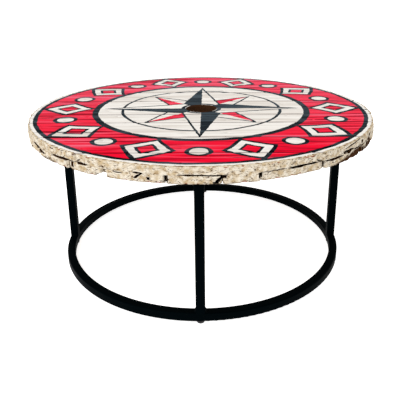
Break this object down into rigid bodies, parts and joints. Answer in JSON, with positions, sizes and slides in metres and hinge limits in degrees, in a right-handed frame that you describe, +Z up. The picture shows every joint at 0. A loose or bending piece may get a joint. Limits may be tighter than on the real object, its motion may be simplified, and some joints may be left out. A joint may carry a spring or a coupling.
{
  "type": "cable reel coffee table",
  "caption": "Round coffee table with a painted two-layer board top from a cable reel, on a welded drum base of square steel tube.",
  "frame": {"origin": "on the floor under the middle of the round top", "axes": "+Z up along the arbor bore, -Y to the front, +X to the right along the upper boards"},
  "size_m": [0.9144, 0.9142, 0.4164],
  "materials": {
    "painted_boards": "worn paint",
    "weathered_boards": "weathered whitewash",
    "frame_steel": "satin black powder coat",
    "nail_steel": "dull",
    "screw_steel": "zinc plated",
    "glide_nylon": "moulded"
  },
  "bodies": {
    "root": {"top_board_1": "painted_boards", "top_board_2": "painted_boards", "top_board_3": "painted_boards", "top_board_4": "painted_boards", "top_board_5": "painted_boards", "top_board_6": "painted_boards", "top_board_7": "painted_boards", "top_board_8": "painted_boards", "under_board_1": "weathered_boards", "under_board_2": "weathered_boards", "under_board_3": "weathered_boards", "under_board_4": "weathered_boards", "under_board_5": "weathered_boards", "under_board_6": "weathered_boards", "under_board_7": "weathered_boards", "under_board_8": "weathered_boards", "under_board_9": "weathered_boards", "flange_nails": "nail_steel", "top_ring": "frame_steel", "bottom_ring": "frame_steel", "leg_front": "frame_steel", "leg_right": "frame_steel", "leg_back": "frame_steel", "leg_left": "frame_steel", "frame_welds": "frame_steel", "mounting_tab_1": "frame_steel", "mounting_tab_2": "frame_steel", "mounting_tab_3": "frame_steel", "mounting_tab_4": "frame_steel", "mounting_screws": "screw_steel", "glide_front": "glide_nylon", "glide_right": "glide_nylon", "glide_back": "glide_nylon", "glide_left": "glide_nylon"}
  },
  "joints": []
}
